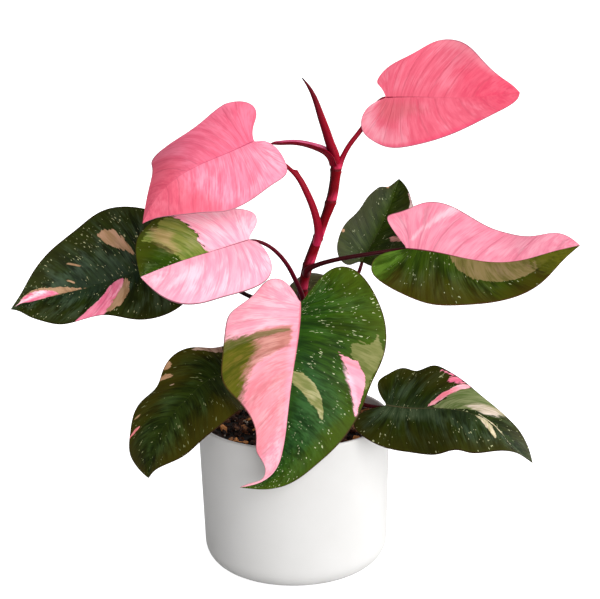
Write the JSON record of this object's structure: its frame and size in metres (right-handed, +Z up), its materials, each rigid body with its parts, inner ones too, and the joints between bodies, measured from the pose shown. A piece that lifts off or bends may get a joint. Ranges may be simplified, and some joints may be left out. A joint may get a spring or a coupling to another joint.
{
  "type": "potted philodendron",
  "caption": "Climbing houseplant with heart-shaped pink and dark green variegated leaves on a red stem, standing in a plain white round pot filled with bark soil.",
  "frame": {"origin": "centre of the pot's foot, on the surface that it stands on", "axes": "+X to the right of the plant's front view, +Y to its back, +Z up"},
  "size_m": [0.4262, 0.2069, 0.4097],
  "materials": {
    "pot_white": "smooth satin white",
    "soil_dark": "rough dark bark mix",
    "stem_crimson": "waxy crimson",
    "petiole_maroon": "waxy dark maroon",
    "leaf_pink": "waxy satin pink",
    "leaf_half_pink": "waxy satin, part pink and part green",
    "leaf_green": "waxy satin dark green with flecks",
    "leaf_olive": "waxy satin brownish olive"
  },
  "bodies": {
    "root": {"pot": "pot_white", "soil": "soil_dark", "stem": "stem_crimson", "new_leaf_spike": "stem_crimson", "cataphyll": "stem_crimson", "leaf_01_blade": "leaf_pink", "leaf_01_petiole": "petiole_maroon", "leaf_02_blade": "leaf_pink", "leaf_02_petiole": "petiole_maroon", "leaf_03_blade": "leaf_half_pink", "leaf_03_petiole": "petiole_maroon", "leaf_04_blade": "leaf_green", "leaf_04_petiole": "petiole_maroon", "leaf_05_blade": "leaf_half_pink", "leaf_05_petiole": "petiole_maroon", "leaf_06_blade": "leaf_half_pink", "leaf_06_petiole": "petiole_maroon", "leaf_07_blade": "leaf_green", "leaf_07_petiole": "petiole_maroon", "leaf_08_blade": "leaf_green", "leaf_08_petiole": "petiole_maroon", "leaf_09_blade": "leaf_green", "leaf_09_petiole": "petiole_maroon", "leaf_10_blade": "leaf_olive", "leaf_10_petiole": "petiole_maroon"}
  },
  "joints": []
}
